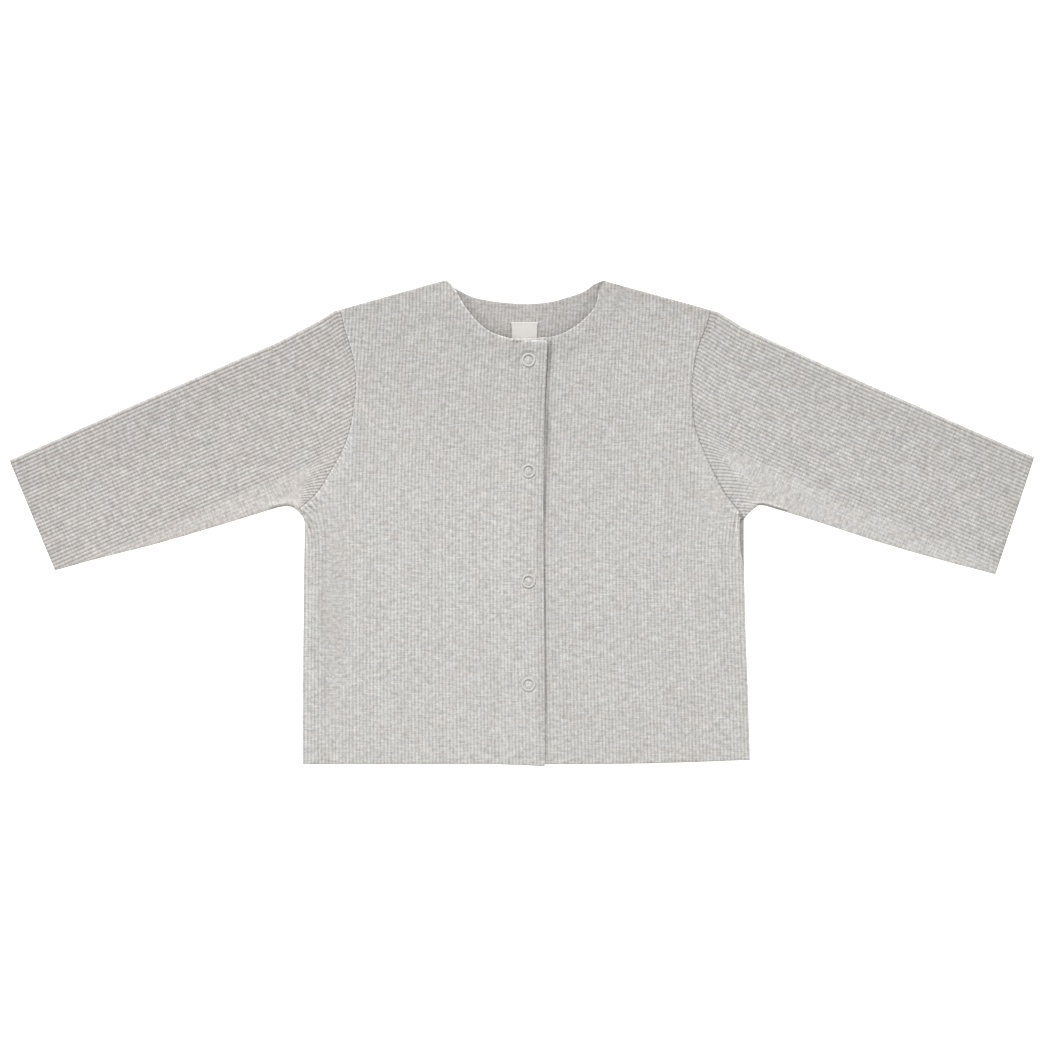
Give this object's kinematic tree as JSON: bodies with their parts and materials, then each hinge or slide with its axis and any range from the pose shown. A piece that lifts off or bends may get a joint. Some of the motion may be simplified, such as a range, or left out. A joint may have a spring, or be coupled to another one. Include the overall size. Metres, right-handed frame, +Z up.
{
  "type": "baby cardigan",
  "caption": "Long-sleeved collarless baby cardigan in fine rib knit, laid flat on its back with its front closed by ring snaps.",
  "frame": {"origin": "middle of the laid-out garment's bounding box, on the surface it lies on", "axes": "+X towards the wearer's left cuff, +Y from the hem to the neck, +Z up from the surface"},
  "size_m": [0.6965, 0.3302, 0.0084],
  "materials": {
    "rib_knit": "heather light grey fine rib knit, matt and soft",
    "snap_ring": "pale grey coated ring, satin",
    "snap_body": "pale grey coated, satin",
    "label_weave": "cream woven label, bare, faint satin sheen"
  },
  "bodies": {
    "root": {"back": "rib_knit", "front_right": "rib_knit", "front_left": "rib_knit", "sleeve_right": "rib_knit", "sleeve_left": "rib_knit", "snap_ring_1": "snap_ring", "snap_ring_2": "snap_ring", "snap_ring_3": "snap_ring", "snap_ring_4": "snap_ring", "snap_body_1": "snap_body", "snap_body_2": "snap_body", "snap_body_3": "snap_body", "snap_body_4": "snap_body", "label": "label_weave"}
  },
  "joints": []
}
